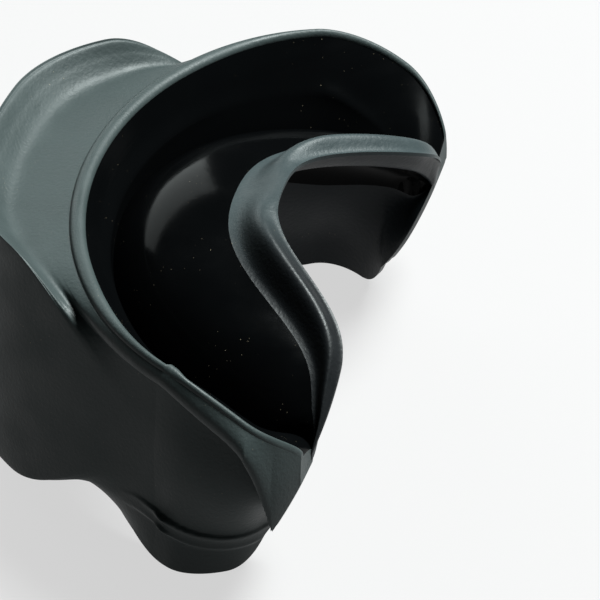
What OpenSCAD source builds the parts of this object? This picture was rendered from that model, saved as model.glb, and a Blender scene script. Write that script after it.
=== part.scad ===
// Moulded rubber mouthpiece that dampens knocks: an open-backed cup that follows the
// dental arch, a vaulted web across it, two side lobes, and an oval lip shield in front.
// Millimetres. Front is -Y, up is +Z, and the body is symmetric about X = 0.
// The origin is the middle of the breathing port; the shape itself is worked out from a datum
// at the height of the tips, between them.
// Every skin point comes from two numbers: the station s along the arch, from -1 at
// one tip through 0 at the front centre to 1 at the other tip, and a place on the section.

/* [Arch] */
// Half of the rim's width at its widest station
arch_half_w = 32.8; // [28:0.1:36]
// Distance from the widest station to the front of the rim
arch_depth = 25; // [20:0.5:30]
// How far behind the widest station the arms end
tip_run = 5; // [3:0.5:7]
// How far each tip curls inward
tip_in = 3.6; // [1:0.1:5]

/* [Heights] */
// Height of the rim along the sides
rim_h = 9.4; // [7:0.1:12]
// Extra height of the rim at the front centre
rim_rise = 1.8; // [0:0.1:3]
// Length over which the rim climbs from the tip
rim_run = 14; // [10:0.5:18]
// Depth of the lobes below the datum
lobe_h = 16.6; // [14:0.1:22]
// Distance of the lobes' lowest point from the tips
lobe_y = 9.6; // [7:0.1:12]
// How far the lower edge climbs again towards the front
lobe_rise = 5.4; // [3:0.1:8]

/* [Wall] */
// Thickness of the rim along the arms
rim_t = 0.8; // [0.6:0.1:1.5]
// Thickness of the rim at the front
rim_t_front = 1.6; // [1:0.1:2]
// How far the margin band below the rim bulges out
wedge_out = 1.5; // [0.6:0.1:2]
// Depth of the undercut below the margin band on the arms
undercut = 3.9; // [3:0.1:5]
// How far the wall swells out again below the undercut
belly = 1.6; // [0:0.1:2.5]
// Depth of the undercut at the front centre
undercut_front = 2; // [1:0.1:3]
// Distance of the lower edge inside the rim line
lobe_in = 8.8; // [6:0.1:10]

/* [Web] */
// Height of the web's rear edge at the middle
web_h = 12; // [10:0.1:14]
// Drop of the rear edge from the middle to the tips
web_drop = 14.2; // [12:0.1:16]
// How far the rear edge is notched forward at the middle
notch_in = 9.3; // [7:0.1:12]
// How far the raised lip stands above the web behind it
lip_rise = 1.6; // [0.5:0.1:2.5]
// Share of the web's run that the raised lip takes
lip_share = 0.3; // [0.2:0.05:0.4]
// How far the lip swells up along the arms
lip_hump = 1.9; // [0:0.1:2]
// Thickness of the web
web_t = 2.4; // [1.5:0.1:3]
// Height of the trough floor at the front centre
trough_z = 6; // [5:0.1:8]

/* [Lip shield] */
// Distance from the rim to the front face of the lip shield
shield_out = 10; // [8:0.5:12]
// Half of the lip shield's height at the middle
shield_half_h = 13.4; // [12:0.1:15]
// Station where the lip shield has run out into the side wall
shield_end = 0.56; // [0.5:0.02:0.6]

/* [Breathing port] */
// Radius of the breathing port
port_r = 5.5; // [4:0.1:6]
// Wall of the port's liner
port_wall = 1.2; // [0.8:0.1:1.5]
// Height of the port's axis
port_z = -3.1; // [-4:0.1:-2]

/* [Resolution] */
// Stations on each side of the front centre
steps = 26; // [16:2:36]
// Rows on each run of the section
rows = 6; // [4:1:8]

/* [Hidden] */
side = 0.8;
web_half_w = 26.9;
curl_half_w = 19;
curl_back = 10.8;
wall_share = 0.6;
root_row = 0.55;
rim_bead = 0.6;
runs = 2 * rows;
liner_back = 25.2;
liner_front = arch_depth + tip_run + shield_out + 0.9;
liner_len = liner_front - liner_back;

satin_rubber = [0.10, 0.11, 0.12];
gloss_rubber = [0.03, 0.03, 0.035];

function clamp01(v) = max(0, min(1, v));
function smooth(v) = let (q = clamp01(v)) q * q * (3 - 2 * q);
function mix(a, b, q) = a + (b - a) * q;

// Plan of the rim: half an ellipse, then the two tips curling in.
function rim_xy(s) =
    let (a = abs(s), g = s < 0 ? -1 : 1, th = 90 * min(a, side) / side,
         curl = 90 * max(0, a - side) / (1 - side))
    [g * (arch_half_w * sin(th) - tip_in * pow(sin(curl), 2)),
     -tip_run * (1 - sin(curl)) - arch_depth * cos(th) * (a < side ? 1 : 0)];

// Outward direction of the section: square to the rim in plan, and straight sideways at the tips.
function outward(s) =
    let (g = s < 0 ? -1 : 1, th = 90 * min(abs(s), side) / side,
         n = [sin(th) / arch_half_w, -cos(th) / arch_depth])
    [g * n[0], n[1]] / norm(n);

// Height of the rim above a place y in the plan.
function rim_z(y) =
    let (q = clamp01((rim_run + y) / rim_run))
    rim_h * pow(1 - pow(q, 1.4), 1 / 1.4) + rim_rise * clamp01((-y - rim_run) / 16);

// Height of the lower edge: up at the tips, lowest at the lobes, higher again at the front.
function low_z(y) =
    let (q = clamp01(-y / lobe_y))
    -3.2 - (lobe_h - 3.2) * pow(sin(90 * q), 0.9) + lobe_rise * smooth((-y - lobe_y - 6.5) / 13);

// Share of the section's height that the margin band takes above the undercut.
function wedge_share(y) = 0.06 + 0.06 * clamp01((y + 14) / 8) + 0.75 * pow(clamp01((y + 12) / 9.8), 8);

// 1 along the arms, 0 at the front centre.
function armness(s) = smooth(abs(s) / 0.7);
// 1 away from the tips, 0.5 at the tips.
function tipness(s) = 1 - 0.5 * smooth((abs(s) - 0.86) / 0.14);
// Thickness of the wall at the rim.
function rim_thick(s) = mix(rim_t_front, rim_t, smooth((abs(s) - 0.3) / 0.35));
// 1 at the front centre, 0 where the lip shield has run out.
function shieldness(s) = 1 - smooth((abs(s) - 0.1) / (shield_end - 0.1));

// The same for the shield's height, which runs out before its depth does.
function liftness(s) = 1 - smooth((abs(s) - 0.26) / 0.25);

// Distance of the lower edge inside the rim line.
function low_in(s) = mix(2.2, lobe_in * tipness(s), smooth((abs(s) - 0.58) / 0.27));

// Offset from the rim line of the outer skin, with t from 0 at the rim to 1 at the lower edge.
function outer_in(s, y, t) =
    let (w = wedge_share(y), shallow = 1 - 0.85 * smooth((w - 0.35) / 0.45),
         under = mix(undercut_front, undercut * tipness(s) * shallow, smooth((abs(s) - 0.46) / 0.26)),
         out = wedge_out * max(0.3, min(1, 5 * w)) * (1 - 0.8 * smooth((abs(s) - 0.84) / 0.14)),
         wedge = -out * sin(180 * min(t / w, 1.25) / 1.35), q = clamp01((t - w) / (1 - w)),
         bulge = pow(sin(180 * clamp01((q - 0.1) / 0.8)), 2),
         swell = belly * smooth((abs(s) - 0.46) / 0.26) * shallow * bulge,
         tuck = (under + out * 0.5) * smooth(q / 0.12) - swell,
         tail = (low_in(s) - under) * pow(q, 2.5))
    (t < w ? wedge : wedge * (1 - q)) + tuck + tail;

// The lip shield's section at the front centre: [offset outwards, height], rim to lower edge,
// as a smooth curve through these points.
shield_points = [
    [0, rim_h + rim_rise], [3, 10.9], [6, 10.9], [8, 12.2],
    [shield_out - 0.5, shield_half_h], [shield_out, shield_half_h - 1.2], [shield_out + 0.4, 0],
    [shield_out, 1.2 - shield_half_h], [shield_out - 0.5, -shield_half_h],
    [8, -12.3], [6, -10.9], [2, -11.5], [-2.2, -12.5]];
function shield_section(t) =
    let (k = min(floor(t * 12), 11), q = t * 12 - k, p = shield_points[k], r = shield_points[k + 1],
         leave = (r - shield_points[max(k - 1, 0)]) / 2,
         arrive = (shield_points[min(k + 2, 12)] - p) / 2)
    p + (r - p) * smooth(q) + leave * q * pow(1 - q, 2) - arrive * q * q * (1 - q);

function wall_skin(s, t) =
    let (p = rim_xy(s), n = outward(s), d = outer_in(s, p[1], t))
    [p[0] - n[0] * d, p[1] - n[1] * d, mix(rim_z(p[1]), low_z(p[1]), t)];

// The wall's skin carried forward to the lip shield's section.
function shield_skin(s, t) =
    let (n = outward(s), middle = wall_skin(0, t), sec = shield_section(t),
         move = shieldness(s) * (sec[0] + arch_depth + tip_run + middle[1]),
         lift = liftness(s) * (sec[1] - middle[2]))
    wall_skin(s, t) + [n[0] * move, n[1] * move, lift];

// Heights of the trough floor and of the web's underside where they meet the wall.
function root_z(s) =
    let (y = rim_xy(s)[1])
    max(mix(trough_z, -1.6, smooth(abs(s) / 0.62)), mix(rim_z(y), low_z(y), 0.5));
function under_z(s) = root_z(s) - web_t * mix(1, 0.35, smooth((abs(s) - 0.86) / 0.14));
function root_in(s) = mix(3.2, 8.2 * tipness(s), armness(s));

// The greater of two offsets, rounded over where they cross.
function rounded_max(a, b) = (a + b + sqrt(pow(a - b, 2) + 0.6)) / 2;

// The inner skin, with r from 0 at the rim, through 0.45 and 0.55 at the web, to 1 at the lower edge.
function inner_skin(s, r) =
    let (p = rim_xy(s), n = outward(s), ztop = rim_z(p[1]) - 0.05, zlow = low_z(p[1]) + 0.9,
         a = clamp01(r / 0.45), b = clamp01((r - 0.45) / 0.1), c = clamp01((r - 0.55) / 0.45),
         z = r < 0.45 ? mix(ztop, root_z(s), a) : r < 0.55 ? mix(root_z(s), under_z(s), b)
             : mix(under_z(s), zlow, c),
         d = r < 0.45 ? mix(rim_thick(s), root_in(s), 1 - pow(1 - a, 1.5)) : r < 0.55 ? root_in(s)
             : mix(root_in(s), low_in(s) + 1.8 * tipness(s), smooth(c)),
         t = clamp01((z - rim_z(p[1])) / (low_z(p[1]) - rim_z(p[1]))),
         wall = outer_in(s, p[1], t) + mix(rim_thick(s), 1.9 * tipness(s), smooth(t / 0.3)),
         e = mix(d, rounded_max(d, wall), smooth(8 * t)))
    [p[0] - n[0] * e, p[1] - n[1] * e, z];

// The web's rear edge, notched forward at the middle and falling to the tips.
function web_edge(s) =
    let (g = s < 0 ? -1 : 1, e = inner_skin(g, 0.45), x = web_half_w * abs(s), fall = x / web_half_w,
         y = -notch_in + curl_back * pow(sin(90 * clamp01(x / curl_half_w)), 3)
             - 1.6 * pow(clamp01((x - curl_half_w) / 7.9), 2),
         z = web_h - web_drop * pow(fall, 1.95))
    mix([g * x, y, z], e, pow(fall, 12));

// The web's upper skin, with v from 0 at the rear edge to 1 at the wall.
function web_top(s, v) =
    let (e = web_edge(s), f = inner_skin(s, 0.45), inner = 1 - pow(abs(s), 3),
         p = mix(e, f, v), bulge = pow(sin(180 * clamp01(v / 0.26)), 2),
         hump = lip_hump * inner * smooth(abs(s) / 0.35) * bulge,
         dip = lip_rise * inner * smooth(v / lip_share) - hump,
         z = mix(e[2] - dip, f[2], pow(v, mix(1.6, 5, inner))))
    [p[0], p[1], z];
function web_under(s, v) =
    let (p = web_top(s, v), f = inner_skin(s, 0.55), g = inner_skin(s, 0.45), thick = g[2] - f[2],
         q = mix(p, [f[0], f[1], p[2]], pow(v, 8)))
    [q[0], q[1], p[2] - mix(0.4, thick, smooth(v / 0.2))];

// A closed solid through a list of ladders. A ladder is a pair of rails with the same number of
// points, and the solid's section at that station is the outline between the two rails.
module loft(ladders, flip = false) {
    m = len(ladders);
    n = len(ladders[0][0]);
    k = 2 * n;
    points = [for (rail = ladders) each concat(rail[0], [for (j = [n - 1:-1:0]) rail[1][j]])];
    skin = [for (i = [0:m - 2], j = [0:k - 1]) let (a = i * k + j, b = i * k + (j + 1) % k)
            each flip ? [[a, a + k, b + k], [a, b + k, b]] : [[a, a + k, b], [b, a + k, b + k]]];
    first = [for (j = [0:n - 2]) each [[j, j + 1, k - 2 - j], [j, k - 2 - j, k - 1 - j]]];
    last = [for (f = first) [for (v = [2:-1:0]) (m - 1) * k + f[v]]];
    polyhedron(points, concat(skin, first, last));
}

// Stations of the left arm, the front and the right arm, from -1 to 1.
right_arm = [for (i = [0:steps]) mix(shield_end, 1, i / steps)];
left_arm = [for (i = [steps:-1:0]) -right_arm[i]];
front = [for (i = [0:steps]) mix(-shield_end, shield_end, i / steps)];
front_inside = [for (i = [1:steps - 1]) front[i]];
whole = concat(left_arm, front_inside, right_arm);
web_stations = [for (i = [1:len(whole) - 2]) whole[i]];

// Rows of the section: the upper wall, the lower wall, and the inner face down to the web's underside.
wall_rows = [for (i = [0:runs]) wall_share * i / runs];
low_rows = [for (i = [0:runs]) mix(wall_share, 1, i / runs)];
all_rows = concat(wall_rows, [for (i = [1:runs]) low_rows[i]]);
inner_rows = concat([for (i = [0:runs - 1]) 0.45 * i / (runs - 1)], [root_row]);
inner_low_rows = [for (i = [0:runs]) mix(root_row, 1, i / runs)];
web_rows = [for (i = [0:runs]) i / runs];

// The ladder of each region at one station: its outer rail, then its inner rail.
function wall_ladder(s) = [[for (t = wall_rows) wall_skin(s, t)],
                           [for (r = inner_rows) inner_skin(s, r)]];
function low_ladder(s) = [[for (t = low_rows) wall_skin(s, t)],
                          [for (r = inner_low_rows) inner_skin(s, r)]];
function shield_ladder(s) = [[for (t = all_rows) shield_skin(s, mix(0.03, 0.97, t))],
                             [for (t = all_rows) wall_skin(s, t)]];
function rim_ladder(s) =
    let (a = wall_skin(s, 0), b = inner_skin(s, 0), up = [0, 0, rim_bead])
    [[a, mix(a, b, 0.05) + 0.6 * up, mix(a, b, 0.3) + up],
     [b, mix(b, a, 0.05) + 0.6 * up, mix(b, a, 0.3) + up]];
function web_ladder(s, v0, v1) = [[for (v = web_rows) web_top(s, mix(v0, v1, v))],
                                  [for (v = web_rows) web_under(s, mix(v0, v1, v))]];

// The hole through the front wall that the port's liner fills.
module port_hole() {
    translate([0, 0, port_z]) rotate([90, 0, 0]) cylinder(h = 60, r = port_r + port_wall, $fn = 96);
}

// Moves the datum so that the origin is the middle of the breathing port.
module placed() {
    translate([0, (liner_front + liner_back) / 2, -port_z]) children();
}

// The rounded bead along the whole upper edge.
module cup_rim() color(satin_rubber) placed() loft([for (s = whole) rim_ladder(s)], true);

// The upper wall: its front part, then the two arms.
module front_wall() color(satin_rubber) placed() difference() {
    loft([for (s = front) wall_ladder(s)]);
    port_hole();
}

module wall_right() color(satin_rubber) placed() loft([for (s = right_arm) wall_ladder(s)]);
module wall_left() color(satin_rubber) placed() loft([for (s = left_arm) wall_ladder(s)]);

// The wall below the web: its front part, then the two side lobes.
module front_apron() color(satin_rubber) placed() difference() {
    loft([for (s = front) low_ladder(s)], true);
    port_hole();
}

module lobe_left() color(satin_rubber) placed() loft([for (s = left_arm) low_ladder(s)], true);
module lobe_right() color(satin_rubber) mirror([1, 0, 0]) lobe_left();

// The web: its raised rear lip, then the plate from the lip to the wall.
module web_lip() color(satin_rubber) placed() {
    loft([for (s = web_stations) web_ladder(s, 0, lip_share)]);
}
module web_plate() color(gloss_rubber) placed() {
    loft([for (s = web_stations) web_ladder(s, lip_share, 1)], true);
}

// The oval flange that stands in front of the teeth, between the lips and the gums.
module lip_shield() color(satin_rubber) placed() difference() {
    loft([for (s = front_inside) shield_ladder(s)], true);
    port_hole();
}

// The tube that lines the breathing port.
module port_liner() color(satin_rubber) placed() {
    translate([0, -liner_back, port_z]) rotate([90, 0, 0]) difference() {
        cylinder(h = liner_len, r = port_r + port_wall, $fn = 96);
        translate([0, 0, -1]) cylinder(h = liner_len + 2, r = port_r, $fn = 96);
    }
}

cup_rim();
front_wall();
wall_left();
wall_right();
front_apron();
lobe_left();
lobe_right();
web_plate();
web_lip();
lip_shield();
port_liner();
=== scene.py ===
# Moulded rubber mouthpiece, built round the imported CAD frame.
# Shape sizes are in millimetres, as in the part's source, and meshes are written in metres.
# A point on a skin comes from two numbers: the station s along the arch, from -1 at one tip
# through 0 at the front centre to 1 at the other tip, and a row t, r or v on the section.
import math
import bpy
import numpy as np
from mathutils import Matrix, Vector


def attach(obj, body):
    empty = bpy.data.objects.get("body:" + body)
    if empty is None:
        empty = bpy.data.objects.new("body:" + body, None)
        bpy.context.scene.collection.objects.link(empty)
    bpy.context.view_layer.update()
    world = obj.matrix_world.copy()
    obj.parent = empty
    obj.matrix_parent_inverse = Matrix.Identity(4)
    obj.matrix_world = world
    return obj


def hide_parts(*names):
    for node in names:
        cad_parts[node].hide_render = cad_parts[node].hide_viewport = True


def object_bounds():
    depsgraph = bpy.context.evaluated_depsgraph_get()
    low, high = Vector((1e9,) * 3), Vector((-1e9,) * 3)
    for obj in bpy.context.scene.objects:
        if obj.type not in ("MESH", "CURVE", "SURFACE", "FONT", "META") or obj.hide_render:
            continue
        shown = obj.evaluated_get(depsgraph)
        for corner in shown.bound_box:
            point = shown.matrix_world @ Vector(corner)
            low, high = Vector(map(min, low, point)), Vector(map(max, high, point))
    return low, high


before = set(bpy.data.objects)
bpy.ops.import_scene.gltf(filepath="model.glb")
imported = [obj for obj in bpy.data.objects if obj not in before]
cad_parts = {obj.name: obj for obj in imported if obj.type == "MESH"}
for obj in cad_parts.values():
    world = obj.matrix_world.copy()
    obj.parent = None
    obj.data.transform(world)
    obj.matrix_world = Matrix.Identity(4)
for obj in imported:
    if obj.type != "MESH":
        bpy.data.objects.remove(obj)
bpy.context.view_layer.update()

# ---------------------------------------------------------------- driving sizes, as in the CAD source
ARCH_HALF_W = 32.8
ARCH_DEPTH = 25.0
TIP_RUN = 5.0
TIP_IN = 3.6
SIDE = 0.8

RIM_H = 9.4
RIM_RISE = 1.8
RIM_RUN = 14.0
RIM_ROUND = 1.4
RIM_FRONT_RUN = 16.0
RIM_T = 0.8
RIM_T_FRONT = 1.6
RIM_BEAD = 0.6

LOBE_H = 16.6
LOBE_Y = 9.6
LOBE_RISE = 5.4
LOBE_FLAT = 6.5
LOBE_CLIMB_RUN = 13.0
LOBE_IN = 8.8
TIP_DROP = 3.2
FRONT_IN = 2.2

WEDGE_OUT = 1.5
UNDERCUT = 3.9
UNDERCUT_FRONT = 2.0
UNDERCUT_START = 0.46
UNDERCUT_GROWTH = 0.26
BELLY = 1.6
WALL_T = 1.9
LOW_EDGE_T = 1.8
LOW_EDGE_LIFT = 0.9

WEB_H = 12.0
WEB_DROP = 14.2
WEB_HALF_W = 26.9
WEB_T = 2.4
WEB_EDGE_T = 0.4
NOTCH_IN = 9.3
CURL_BACK = 10.8
CURL_HALF_W = 19.0
LIP_RISE = 1.6
LIP_SHARE = 0.3
LIP_HUMP = 1.9
LIP_HUMP_SHARE = 0.26
TROUGH_Z = 6.0
TROUGH_Z_ARM = -1.6
TROUGH_IN = 3.2
TROUGH_IN_ARM = 8.2

SHIELD_OUT = 10.0
SHIELD_HALF_H = 13.4
SHIELD_END = 0.56

PORT_R = 5.5
PORT_WALL = 1.2
PORT_Z = -3.1
LINER_BACK = 25.2
LINER_FRONT = ARCH_DEPTH + TIP_RUN + SHIELD_OUT + 0.9

# Rows where the outer skin passes from the upper wall to the lower one, and where the inner
# skin meets the web's top and the web's underside.
WALL_SHARE = 0.6
WEB_ROW = 0.45
UNDER_ROW = 0.55

DATUM = np.array([0.0, (LINER_FRONT + LINER_BACK) / 2, -PORT_Z])
MM = 0.001

# ---------------------------------------------------------------- surface details
# The hole in the walls is a little smaller than the liner's outside, so that its edge is hidden.
PORT_HOLE = PORT_R + PORT_WALL - 0.15
PARTING_Z = -12.0
PARTING_RISE = 2.4
LEDGE = 0.35
LEDGE_H = 1.4
FLASH = 0.1
FLASH_SPOT = 0.3
FLASH_SPOT_Y = -14.5
NICK = 0.5
NICK_FRONT = -13.8
NICK_BACK = -13.0


# ---------------------------------------------------------------- shape functions
def clamp01(v):
    return np.clip(v, 0.0, 1.0)


def smooth(v):
    q = clamp01(v)
    return q * q * (3 - 2 * q)


def mix(a, b, q):
    return a + (b - a) * q


def sign(s):
    return np.where(s < 0, -1.0, 1.0)


def point(x, y, z):
    return np.stack(np.broadcast_arrays(x, y, z), axis=-1)


def ramp(s, start, run):
    """0 up to a station on either arm, then a smooth climb to 1 over a run of stations."""
    return smooth((np.abs(s) - start) / run)


def rim_xy(s):
    """Plan of the rim: half an ellipse, then the two tips curling in."""
    a = np.abs(s)
    arc = np.radians(90 * np.minimum(a, SIDE) / SIDE)
    curl = np.radians(90 * np.maximum(0, a - SIDE) / (1 - SIDE))
    x = sign(s) * (ARCH_HALF_W * np.sin(arc) - TIP_IN * np.sin(curl) ** 2)
    y = -TIP_RUN * (1 - np.sin(curl)) - ARCH_DEPTH * np.cos(arc)
    return x, y


def outward(s):
    """Outward direction of the section: square to the rim, and straight sideways at the tips."""
    arc = np.radians(90 * np.minimum(np.abs(s), SIDE) / SIDE)
    nx = np.sin(arc) / ARCH_HALF_W
    ny = -np.cos(arc) / ARCH_DEPTH
    size = np.sqrt(nx * nx + ny * ny)
    return sign(s) * nx / size, ny / size


def rim_z(y):
    q = clamp01((RIM_RUN + y) / RIM_RUN)
    climb = RIM_RISE * clamp01((-y - RIM_RUN) / RIM_FRONT_RUN)
    return RIM_H * (1 - q ** RIM_ROUND) ** (1 / RIM_ROUND) + climb


def low_z(y):
    q = clamp01(-y / LOBE_Y)
    climb = LOBE_RISE * smooth((-y - LOBE_Y - LOBE_FLAT) / LOBE_CLIMB_RUN)
    return -TIP_DROP - (LOBE_H - TIP_DROP) * np.sin(np.radians(90 * q)) ** 0.9 + climb


def wedge_share(y):
    """Share of the section that the margin band takes: thin in front, most of it at the tips."""
    return 0.06 + 0.06 * clamp01((y + 14) / 8) + 0.75 * clamp01((y + 12) / 9.8) ** 8


def tipness(s):
    """1 away from the tips, 0.5 at the tips."""
    return 1 - 0.5 * ramp(s, 0.86, 0.14)


def rim_t(s):
    """Thickness of the wall at the rim."""
    return mix(RIM_T_FRONT, RIM_T, ramp(s, 0.3, 0.35))


def shieldness(s):
    """1 at the front centre, 0 where the lip shield has run out."""
    return 1 - ramp(s, 0.1, SHIELD_END - 0.1)


def liftness(s):
    """The same for the shield's height, which runs out before its depth does."""
    return 1 - ramp(s, 0.26, 0.25)


def low_in(s):
    """Distance of the lower edge inside the rim line."""
    return mix(FRONT_IN, LOBE_IN * tipness(s), ramp(s, 0.58, 0.27))


def outer_in(s, y, t):
    """Distance of the outer skin inside the rim line."""
    arm = ramp(s, UNDERCUT_START, UNDERCUT_GROWTH)
    w = wedge_share(y)
    shallow = 1 - 0.85 * smooth((w - 0.35) / 0.45)
    under = mix(UNDERCUT_FRONT, UNDERCUT * tipness(s) * shallow, arm)
    out = WEDGE_OUT * np.clip(5 * w, 0.3, 1) * (1 - 0.8 * ramp(s, 0.84, 0.14))
    wedge = -out * np.sin(np.pi * np.minimum(t / w, 1.25) / 1.35)
    q = clamp01((t - w) / (1 - w))
    bulge = np.sin(np.pi * clamp01((q - 0.1) / 0.8)) ** 2
    tuck = (under + out * 0.5) * smooth(q / 0.12) - BELLY * arm * shallow * bulge
    tail = (low_in(s) - under) * q ** 2.5
    return np.where(t < w, wedge, wedge * (1 - q)) + tuck + tail


def wall_skin(s, t):
    """The outer skin, from the rim at 0 to the lower edge at 1."""
    x, y = rim_xy(s)
    nx, ny = outward(s)
    d = outer_in(s, y, t)
    return point(x - nx * d, y - ny * d, mix(rim_z(y), low_z(y), t))


def moulded_skin(s, t):
    """The outer skin with the small ledge under the mould's parting line, and its flash."""
    p = wall_skin(s, t)
    nx, ny = outward(s)
    line_z = PARTING_Z + PARTING_RISE * smooth((-rim_xy(s)[1] - 9) / 13)
    below = line_z - p[..., 2]
    on_arm = ramp(s, 0.44, 0.14) * (1 - ramp(s, 0.84, 0.08))
    ledge = LEDGE * smooth((below + 0.5) / 0.5) * (1 - smooth((below - 1.3) / 0.6))
    ragged = FLASH + FLASH_SPOT * np.exp(-((p[..., 1] - FLASH_SPOT_Y) / 0.8) ** 2)
    flash = ragged * (np.exp(-(below / 0.35) ** 2) + np.exp(-((below - LEDGE_H) / 0.35) ** 2))
    d = on_arm * (ledge + flash)
    return p + point(nx * d, ny * d, 0 * d)


# The lip shield's section at the front centre: offset outwards and height, rim to lower edge.
SHIELD_SECTION = np.array([
    [0, RIM_H + RIM_RISE], [3, 10.9], [6, 10.9], [8, 12.2],
    [SHIELD_OUT - 0.5, SHIELD_HALF_H], [SHIELD_OUT, SHIELD_HALF_H - 1.2], [SHIELD_OUT + 0.4, 0],
    [SHIELD_OUT, 1.2 - SHIELD_HALF_H], [SHIELD_OUT - 0.5, -SHIELD_HALF_H],
    [8, -12.3], [6, -10.9], [2, -11.5], [-2.2, -12.5]])
SHIELD_SPANS = len(SHIELD_SECTION) - 1


def shield_section(t):
    """The section's points joined by a smooth curve that passes through each."""
    k = np.minimum((t * SHIELD_SPANS).astype(int), SHIELD_SPANS - 1)
    q = (t * SHIELD_SPANS - k)[..., None]
    p = SHIELD_SECTION[k]
    r = SHIELD_SECTION[k + 1]
    leave = (r - SHIELD_SECTION[np.maximum(k - 1, 0)]) / 2
    arrive = (SHIELD_SECTION[np.minimum(k + 2, SHIELD_SPANS)] - p) / 2
    return p + (r - p) * smooth(q) + leave * q * (1 - q) ** 2 - arrive * q * q * (1 - q)


def shield_skin(s, t):
    """The outer skin carried forward to the lip shield's section, sunk a little at both ends."""
    section = shield_section(t)
    middle = wall_skin(np.zeros_like(t), t)
    nx, ny = outward(s)
    sink = 0.05 * ramp(s, SHIELD_END - 0.04, 0.04)
    move = shieldness(s) * (section[..., 0] + ARCH_DEPTH + TIP_RUN + middle[..., 1]) - sink
    lift = liftness(s) * (section[..., 1] - middle[..., 2])
    return moulded_skin(s, t) + point(nx * move, ny * move, lift)


def shield_front(s, t):
    """The part of that skin that the lip shield covers, without its two end rows."""
    return shield_skin(s, mix(0.01, 0.99, t))


def shield_back(s, t):
    """The shield's hidden inner face, a little way inside the wall."""
    nx, ny = outward(s)
    return wall_skin(s, t) - point(0.3 * nx + 0 * t, 0.3 * ny + 0 * t, 0 * t)


def root_z(s):
    """Height of the trough floor where it meets the wall."""
    y = rim_xy(s)[1]
    return np.maximum(mix(TROUGH_Z, TROUGH_Z_ARM, ramp(s, 0, 0.62)), mix(rim_z(y), low_z(y), 0.5))


def under_z(s):
    """Height of the web's underside where it meets the wall."""
    return root_z(s) - WEB_T * mix(1, 0.35, ramp(s, 0.86, 0.14))


def root_in(s):
    """Distance of the trough floor's outer edge inside the rim line."""
    return mix(TROUGH_IN, TROUGH_IN_ARM * tipness(s), ramp(s, 0, 0.7))


def rounded_max(a, b):
    """The greater of two offsets, rounded over where they cross."""
    return (a + b + np.sqrt((a - b) ** 2 + 0.6)) / 2


def inner_skin(s, r):
    """The inner skin, from the rim at 0, past the web, to the lower edge at 1."""
    x, y = rim_xy(s)
    nx, ny = outward(s)
    above = r < WEB_ROW
    beside = r < UNDER_ROW
    a = clamp01(r / WEB_ROW)
    b = clamp01((r - WEB_ROW) / (UNDER_ROW - WEB_ROW))
    c = clamp01((r - UNDER_ROW) / (1 - UNDER_ROW))
    z_above = mix(rim_z(y) - 0.05, root_z(s), a)
    z_beside = mix(root_z(s), under_z(s), b)
    z_below = mix(under_z(s), low_z(y) + LOW_EDGE_LIFT, c)
    z = np.where(above, z_above, np.where(beside, z_beside, z_below))
    d_above = mix(rim_t(s), root_in(s), 1 - (1 - a) ** 1.5)
    d_below = mix(root_in(s), low_in(s) + LOW_EDGE_T * tipness(s), smooth(c))
    d = np.where(above, d_above, np.where(beside, root_in(s), d_below))
    t = clamp01((z - rim_z(y)) / (low_z(y) - rim_z(y)))
    wall = outer_in(s, y, t) + mix(rim_t(s), WALL_T * tipness(s), smooth(t / 0.3))
    e = mix(d, rounded_max(d, wall), smooth(8 * t))
    return point(x - nx * e, y - ny * e, z)


def web_edge(s):
    """The web's rear edge, notched forward at the middle and falling to the tips."""
    end = inner_skin(sign(s) * np.ones_like(s), np.full_like(s, WEB_ROW))
    fall = np.abs(s)
    x = WEB_HALF_W * fall
    curl = CURL_BACK * np.sin(np.radians(90 * clamp01(x / CURL_HALF_W))) ** 3
    y = curl - NOTCH_IN - 1.6 * clamp01((x - CURL_HALF_W) / (WEB_HALF_W - CURL_HALF_W)) ** 2
    z = WEB_H - WEB_DROP * fall ** 1.95
    return mix(point(sign(s) * x, y, z), end, (fall ** 12)[..., None])


def web_top(s, v):
    """The web's upper skin, from the rear edge at 0 to the wall at 1."""
    v = np.maximum(v, 0)
    edge = web_edge(s)
    wall = inner_skin(s, np.full_like(s, WEB_ROW))
    inner = 1 - np.abs(s) ** 3
    p = mix(edge, wall, v[..., None])
    swell = np.sin(np.pi * clamp01(v / LIP_HUMP_SHARE)) ** 2
    hump = LIP_HUMP * inner * ramp(s, 0, 0.35) * swell
    dip = LIP_RISE * inner * smooth(v / LIP_SHARE) - hump
    z = mix(edge[..., 2] - dip, wall[..., 2], v ** mix(1.6, 5, inner))
    return point(p[..., 0], p[..., 1], z)


def web_under(s, v):
    """The web's underside, a feather edge behind and the web's full thickness at the wall."""
    p = web_top(s, v)
    top_root = inner_skin(s, np.full_like(s, WEB_ROW))
    root = inner_skin(s, np.full_like(s, UNDER_ROW))
    pull = v ** 8
    thick = mix(WEB_EDGE_T, top_root[..., 2] - root[..., 2], smooth(v / 0.2))
    x = mix(p[..., 0], root[..., 0], pull)
    y = mix(p[..., 1], root[..., 1], pull)
    return point(x, y, p[..., 2] - thick)


def bead_skin(s, t):
    """The rim's rounded bead, from the outer edge to the inner one, with a nick on one arm."""
    a = wall_skin(s, np.zeros_like(s))
    b = inner_skin(s, np.zeros_like(s))
    nx, ny = outward(s)
    arc = np.pi * t
    y = a[..., 1]
    nick = NICK * (s > 0) * smooth((y - NICK_FRONT) / 0.25) * (1 - smooth((y - NICK_BACK) / 1.8))
    p = mix(a, b, ((1 - np.cos(arc)) / 2)[..., None])
    return p + point(-nx * nick * t, -ny * nick * t, RIM_BEAD * np.sin(arc))


def bead_base(s, t):
    """The bead's hidden underside, a little way inside the wall."""
    a = wall_skin(s, np.zeros_like(s))
    b = inner_skin(s, np.zeros_like(s))
    p = mix(a, b, mix(0.01, 0.99, t)[..., None])
    return p - point(0 * t, 0 * t, 0.02 + 0 * t)


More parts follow.
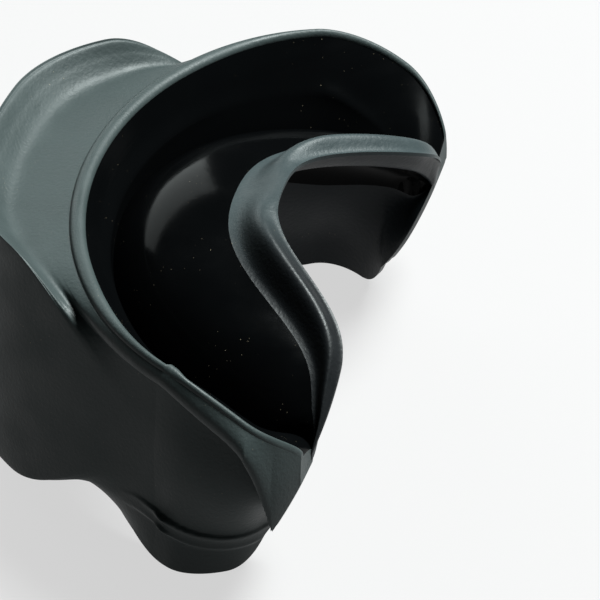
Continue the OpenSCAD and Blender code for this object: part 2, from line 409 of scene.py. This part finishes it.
# ---------------------------------------------------------------- stations and rows
FINE = 56
BEAD_ROWS = 17
LIP_ROWS = 30
PLATE_ROWS = 60
SHIELD_ROWS = 121

right_arm = np.linspace(SHIELD_END, 1, 2 * FINE + 1)
left_arm = -right_arm[::-1]
front = np.linspace(-SHIELD_END, SHIELD_END, 3 * FINE + 1)
whole = np.concatenate([left_arm, front[1:-1], right_arm])
wall_rows = np.linspace(0, WALL_SHARE, FINE)
low_rows = np.linspace(WALL_SHARE, 1, FINE)
inner_rows = np.concatenate([np.linspace(0, WEB_ROW, FINE - 8), np.linspace(WEB_ROW, UNDER_ROW, 9)[1:]])
inner_low_rows = np.linspace(UNDER_ROW, 1, FINE)
bead_rows = np.linspace(0, 1, BEAD_ROWS)
lip_rows = np.linspace(0, LIP_SHARE, LIP_ROWS)
plate_rows = np.linspace(LIP_SHARE, 1, PLATE_ROWS)
shield_rows = np.linspace(0, 1, SHIELD_ROWS)


# ---------------------------------------------------------------- meshes
def grid(skin, stations, rows):
    s, t = np.meshgrid(stations, rows, indexing="ij")
    return skin(s, t)


def grid_normals(skin, stations, rows):
    """Normals of a skin at its grid points, from small steps both ways, so neighbours match."""
    step = 1e-3
    s, t = np.meshgrid(stations, rows, indexing="ij")
    along = skin(np.clip(s + step, -1, 1), t) - skin(np.clip(s - step, -1, 1), t)
    across = skin(s, t + step) - skin(s, t - step)
    n = np.cross(along, across)
    return n / np.maximum(np.linalg.norm(n, axis=-1, keepdims=True), 1e-9)


def opened(points):
    """Moves the points that lie inside the port's hole out to its edge, and says which they are."""
    middle = np.array([0, PORT_Z])
    away = points[..., [0, 2]] - middle
    reach = np.linalg.norm(away, axis=-1)
    inside = (reach < PORT_HOLE) & (points[..., 1] < 0)
    edge = middle + away * (PORT_HOLE / np.maximum(reach, 1e-6))[..., None]
    moved = points.copy()
    moved[..., 0] = np.where(inside, edge[..., 0], points[..., 0])
    moved[..., 2] = np.where(inside, edge[..., 1], points[..., 2])
    return moved, inside.reshape(-1)


def skin_quads(m, n):
    """Quads of two grids of m by n points, the second one facing the other way."""
    base = m * n
    quads = []
    for i in range(m - 1):
        for j in range(n - 1):
            p = i * n + j
            quads.append((p, p + 1, p + n + 1, p + n))
            quads.append((base + p, base + p + n, base + p + n + 1, base + p + 1))
    return quads


def edge_quads(m, n):
    """Quads that join the two grids along their four edges."""
    base = m * n
    quads = []
    for i in range(m - 1):
        p = i * n
        q = i * n + n - 1
        quads.append((p, p + n, base + p + n, base + p))
        quads.append((q, base + q, base + q + n, q + n))
    for j in range(n - 1):
        q = (m - 1) * n + j
        quads.append((j, base + j, base + j + 1, j + 1))
        quads.append((q, q + 1, base + q + 1, base + q))
    return quads


def signed_volume(verts, faces):
    quads = verts[np.array(faces)]
    one = np.einsum("ij,ij->i", quads[:, 0], np.cross(quads[:, 1], quads[:, 2]))
    two = np.einsum("ij,ij->i", quads[:, 0], np.cross(quads[:, 2], quads[:, 3]))
    return (one.sum() + two.sum()) / 6


def new_mesh_object(name, verts, faces):
    """A mesh object from points in the datum's millimetres, with its faces turned outwards."""
    mesh = bpy.data.meshes.new(name)
    mesh.from_pydata([tuple((v + DATUM) * MM) for v in verts], [], faces)
    if signed_volume(verts, faces) < 0:
        mesh.flip_normals()
    mesh.shade_smooth()
    mesh.update()
    obj = bpy.data.objects.new(name, mesh)
    bpy.context.scene.collection.objects.link(obj)
    return obj


def set_normals(mesh, smooth_faces, normals):
    """Gives the skins their own normals, and leaves the faces after them flat."""
    loop_normals = []
    for index, polygon in enumerate(mesh.polygons):
        flat = np.array(polygon.normal)
        for loop in polygon.loop_indices:
            if index >= smooth_faces:
                loop_normals.append(tuple(flat))
                continue
            n = normals[mesh.loops[loop].vertex_index]
            loop_normals.append(tuple(n if n @ flat > 0 else -n))
    mesh.normals_split_custom_set(loop_normals)


def ladder_mesh(name, stations, outer, outer_rows, inner, inner_rows, port=False):
    """A closed mesh between two skins over the same stations, with the port's hole if asked."""
    a = grid(outer, stations, outer_rows)
    b = grid(inner, stations, inner_rows)
    m, n = a.shape[:2]
    gone = np.zeros(2 * m * n, dtype=bool)
    if port:
        a, gone_a = opened(a)
        b, gone_b = opened(b)
        gone = np.concatenate([gone_a, gone_b])
    verts = np.concatenate([a.reshape(-1, 3), b.reshape(-1, 3)])
    normals = np.concatenate([grid_normals(outer, stations, outer_rows).reshape(-1, 3),
                              grid_normals(inner, stations, inner_rows).reshape(-1, 3)])
    skins = [quad for quad in skin_quads(m, n) if not gone[list(quad)].all()]
    edges = [quad for quad in edge_quads(m, n) if not gone[list(quad)].all()]
    obj = new_mesh_object(name, verts, skins + edges)
    set_normals(obj.data, len(skins), normals)
    obj["skin_faces"] = len(skins)
    obj["inner_from"] = m * n
    return obj


def liner_mesh():
    """The port's tube, with both ends rounded over."""
    turn = np.radians(np.arange(0, 181, 15))
    half = PORT_WALL / 2
    middle = PORT_R + half
    front_end = [(middle - half * math.cos(a), LINER_FRONT - half + half * math.sin(a)) for a in turn]
    back_end = [(middle + half * math.cos(a), LINER_BACK + half - half * math.sin(a)) for a in turn]
    profile = front_end + back_end
    count = len(profile)
    around = 96
    verts = []
    faces = []
    for i in range(around):
        angle = 2 * math.pi * i / around
        step = ((i + 1) % around - i) * count
        verts += [(r * math.cos(angle), -y, PORT_Z + r * math.sin(angle)) for r, y in profile]
        for j in range(count):
            a = i * count + j
            b = i * count + (j + 1) % count
            faces.append((a, b, b + step, a + step))
    return new_mesh_object("port_liner_skin", np.array(verts), faces)


# ---------------------------------------------------------------- materials
DUST = (0.16, 0.13, 0.09, 1)
# The colour the lip darkens to along the arm on +X.
DARK_ARM_BLACK = (0.003, 0.0035, 0.004, 1)


def add_node(mat, kind, values=None, data_type=None):
    node = mat.node_tree.nodes.new(kind)
    if data_type:
        node.data_type = data_type
    for socket, value in (values or {}).items():
        node.inputs[socket].default_value = value
    return node


def add_noise(mat, vector, scale, detail):
    node = add_node(mat, "ShaderNodeTexNoise", {"Scale": scale, "Detail": detail})
    mat.node_tree.links.new(vector, node.inputs["Vector"])
    return node.outputs["Fac"]


def add_range(mat, value, from_min, from_max, to_min=0.0, to_max=1.0):
    limits = {"From Min": from_min, "From Max": from_max, "To Min": to_min, "To Max": to_max}
    node = add_node(mat, "ShaderNodeMapRange", limits)
    mat.node_tree.links.new(value, node.inputs["Value"])
    return node


def add_product(mat, a, b):
    node = add_node(mat, "ShaderNodeMath")
    node.operation = "MULTIPLY"
    mat.node_tree.links.new(a, node.inputs[0])
    mat.node_tree.links.new(b, node.inputs[1])
    return node.outputs["Value"]


def add_mix(mat, factor, b, a=None, a_from=None):
    """A colour that goes from a, or from another node's colour, to b."""
    node = add_node(mat, "ShaderNodeMix", {"B": b}, "RGBA")
    mat.node_tree.links.new(factor, node.inputs["Factor"])
    if a_from:
        mat.node_tree.links.new(a_from, node.inputs["A"])
    else:
        node.inputs["A"].default_value = a
    return node.outputs["Result"]


def uneven_polish(mat, place, cloud, streak, roughness, spread):
    """Roughness that varies in clouds and in wipe marks drawn out along the streak."""
    stretch = add_node(mat, "ShaderNodeMapping", {"Scale": streak})
    mat.node_tree.links.new(place, stretch.inputs["Vector"])
    wipe = add_noise(mat, stretch.outputs["Vector"], 220, 4)
    both = add_product(mat, cloud, wipe)
    polish = add_range(mat, both, 0.1, 0.45, roughness - spread, roughness + spread)
    return polish.outputs["Result"]


def dust_specks(mat, place, cloud):
    """1 on a few small specks where the cloud is dense, 0 elsewhere."""
    specks = add_node(mat, "ShaderNodeTexVoronoi", {"Scale": 1600})
    mat.node_tree.links.new(place, specks.inputs["Vector"])
    dust = add_range(mat, specks.outputs["Distance"], 0.085, 0.03)
    sparse = add_range(mat, cloud, 0.52, 0.7)
    return add_product(mat, dust.outputs["Result"], sparse.outputs["Result"])


def darker_along_arm(mat, place, colour):
    """The colour at the middle of the arch, darkening along the arm on +X."""
    sides = add_node(mat, "ShaderNodeSeparateXYZ")
    mat.node_tree.links.new(place, sides.inputs["Vector"])
    arm = add_range(mat, sides.outputs["X"], 0.001, 0.013)
    arm.interpolation_type = "SMOOTHSTEP"
    return add_mix(mat, arm.outputs["Result"], DARK_ARM_BLACK, a_from=colour)


def rubber(name, colour, specular, roughness, spread=0.1, grain=2600, grain_depth=0.00008,
           streak=(1, 1, 1), darker_arm=False):
    """Moulded rubber: a near-black body with uneven polish, fine grain and a few dust specks."""
    mat = bpy.data.materials.new(name)
    mat.use_nodes = True
    links = mat.node_tree.links
    shader = mat.node_tree.nodes["Principled BSDF"]
    shader.inputs["Specular IOR Level"].default_value = specular
    place = add_node(mat, "ShaderNodeTexCoord").outputs["Object"]
    cloud = add_noise(mat, place, 160, 5)
    polish = uneven_polish(mat, place, cloud, streak, roughness, spread)
    links.new(polish, shader.inputs["Roughness"])
    dark = (*(0.6 * c for c in colour), 1)
    light = (*(1.5 * c for c in colour), 1)
    body = add_mix(mat, polish, light, a=dark)
    # Darker colour along the arm on +X.
    if darker_arm:
        body = darker_along_arm(mat, place, body)
    dusty = add_mix(mat, dust_specks(mat, place, cloud), DUST, a_from=body)
    links.new(dusty, shader.inputs["Base Color"])
    bump = add_node(mat, "ShaderNodeBump", {"Distance": grain_depth, "Strength": 0.5})
    links.new(add_noise(mat, place, grain, 3), bump.inputs["Height"])
    links.new(bump.outputs["Normal"], shader.inputs["Normal"])
    return mat


satin = rubber("satin_rubber", (0.014, 0.0185, 0.0185), specular=0.12, roughness=0.5)
# A darker copy of the satin rubber for the undersides: painted shade, which keeps surfaces that the
# lights still reach dark under the web and inside the lobes.
painted_shade_satin = rubber("satin_rubber_underside_painted_shade", (0.006, 0.0085, 0.010), specular=0.1, roughness=0.42,
                     spread=0.08, grain_depth=0.00006)
lip_satin = rubber("satin_rubber_lip", (0.012, 0.0165, 0.0175), specular=0.11, roughness=0.48,
                   streak=(3, 0.6, 1), darker_arm=True)
gloss = rubber("gloss_rubber", (0.0008, 0.0009, 0.001), specular=0.022, roughness=0.16,
               spread=0.08, grain=1200, grain_depth=0.00001, streak=(0.4, 0.4, 3))
gloss_wall = rubber("gloss_rubber_wall", (0.0008, 0.0009, 0.001), specular=0.006, roughness=0.22,
                    spread=0.08, grain=1200, grain_depth=0.00001, streak=(0.4, 0.4, 3))


# ---------------------------------------------------------------- pieces
def finish(obj, node, material, inside=None):
    """Dresses a piece, with another material on its inner skin if given, parents it to the root body
    and hides the CAD part it stands for.
    """
    obj.data.materials.append(material)
    if inside:
        obj.data.materials.append(inside)
        for polygon in obj.data.polygons[:obj["skin_faces"]]:
            polygon.material_index = int(polygon.vertices[0] >= obj["inner_from"])
    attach(obj, "root")
    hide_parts(node)


finish(ladder_mesh("rim_skin", whole, bead_skin, bead_rows, bead_base, bead_rows),
       "cup_rim", satin)

for name, stations in (("front_wall", front), ("wall_left", left_arm), ("wall_right", right_arm)):
    upper = ladder_mesh(name + "_skin", stations, moulded_skin, wall_rows, inner_skin, inner_rows,
                        port=name == "front_wall")
    finish(upper, name, satin, gloss_wall)

# The lower walls' inner skins take the darker rubber with its painted shade.
for name, stations in (("front_apron", front), ("lobe_left", left_arm), ("lobe_right", right_arm)):
    lower = ladder_mesh(name + "_skin", stations, moulded_skin, low_rows, inner_skin, inner_low_rows,
                        port=name == "front_apron")
    finish(lower, name, satin, painted_shade_satin)

# The web lip's underside takes the same darker rubber with its painted shade.
finish(ladder_mesh("web_lip_skin", whole[1:-1], web_top, lip_rows, web_under, lip_rows),
       "web_lip", lip_satin, painted_shade_satin)
finish(ladder_mesh("web_plate_skin", whole[1:-1], web_top, plate_rows, web_under, plate_rows),
       "web_plate", gloss)

finish(ladder_mesh("lip_shield_skin", front[1:-1], shield_front, shield_rows, shield_back, shield_rows,
                   port=True),
       "lip_shield", satin)
finish(liner_mesh(), "port_liner", satin)

# ---------------------------------------------------------------- stage, lights and camera
VIEW_TURN = math.radians(14.5)
VIEW_LIFT = math.radians(35.0)
VIEW_WIDTH = 60.0
CAMERA_AWAY = 2500.0
SENSOR_W = 36.0
AIM_LEFT = 7.44
AIM_DOWN = 0.34
FLOOR_W = 6.0
FLOOR_GLOW = 0.635
FLOOR_COLOUR = (0.036, 0.033, 0.0333, 1)
LIGHT_COLOUR = (0.92, 1.0, 0.99)
ROOM_GLOW = 0.01


def add_camera():
    """A camera far off, so that its perspective is weak. The turn is from +X towards +Y."""
    level = np.array([math.cos(VIEW_TURN), math.sin(VIEW_TURN), 0.0])
    right = np.array([-math.sin(VIEW_TURN), math.cos(VIEW_TURN), 0.0])
    towards = math.cos(VIEW_LIFT) * level + math.sin(VIEW_LIFT) * np.array([0.0, 0.0, 1.0])
    up = np.cross(towards, right)
    data = bpy.data.cameras.new("camera")
    data.sensor_width = SENSOR_W
    data.lens = SENSOR_W * CAMERA_AWAY / VIEW_WIDTH
    data.clip_start = 0.01
    data.clip_end = 10
    camera = bpy.data.objects.new("camera", data)
    bpy.context.scene.collection.objects.link(camera)
    place = (DATUM - AIM_LEFT * right - AIM_DOWN * up + CAMERA_AWAY * towards) * MM
    rows = [[*map(float, row)] for row in zip(right, up, towards, place)]
    camera.matrix_world = Matrix([*rows, [0, 0, 0, 1]])
    bpy.context.scene.camera = camera


def add_floor():
    bpy.ops.mesh.primitive_plane_add(size=FLOOR_W, location=(0, 0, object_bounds()[0][2]))
    floor = bpy.context.object
    floor.name = "floor"
    mat = bpy.data.materials.new("floor")
    mat.use_nodes = True
    shader = mat.node_tree.nodes["Principled BSDF"]
    shader.inputs["Base Color"].default_value = FLOOR_COLOUR
    shader.inputs["Roughness"].default_value = 0.9
    shader.inputs["Emission Color"].default_value = (1, 1, 1, 1)
    shader.inputs["Emission Strength"].default_value = FLOOR_GLOW
    floor.data.materials.append(mat)


def add_softbox(name, direction, away, size, power):
    """A rectangular soft light that stands off in a direction and faces the origin."""
    data = bpy.data.lights.new(name, "AREA")
    data.shape = "RECTANGLE"
    data.size, data.size_y = size
    data.energy = power
    data.color = LIGHT_COLOUR
    light = bpy.data.objects.new(name, data)
    bpy.context.scene.collection.objects.link(light)
    d = np.array(direction) / np.linalg.norm(direction)
    light.location = d * away
    light.rotation_euler = Vector(d).to_track_quat("Z", "Y").to_euler()


def add_world():
    world = bpy.data.worlds.new("room")
    world.use_nodes = True
    background = world.node_tree.nodes["Background"]
    background.inputs["Color"].default_value = (1, 1, 1, 1)
    background.inputs["Strength"].default_value = ROOM_GLOW
    bpy.context.scene.world = world


bpy.context.scene.view_settings.view_transform = "Standard"
add_camera()
add_floor()
add_world()
add_softbox("front_softbox", (-0.69, -0.58, 0.44), 0.5, (0.36, 0.22), 1.2)
add_softbox("rear_softbox", (-0.27, 0.385, 0.883), 0.7, (0.26, 0.26), 20.0)
add_softbox("far_softbox", (-0.44, 0.37, 0.82), 0.7, (0.26, 0.26), 12.0)
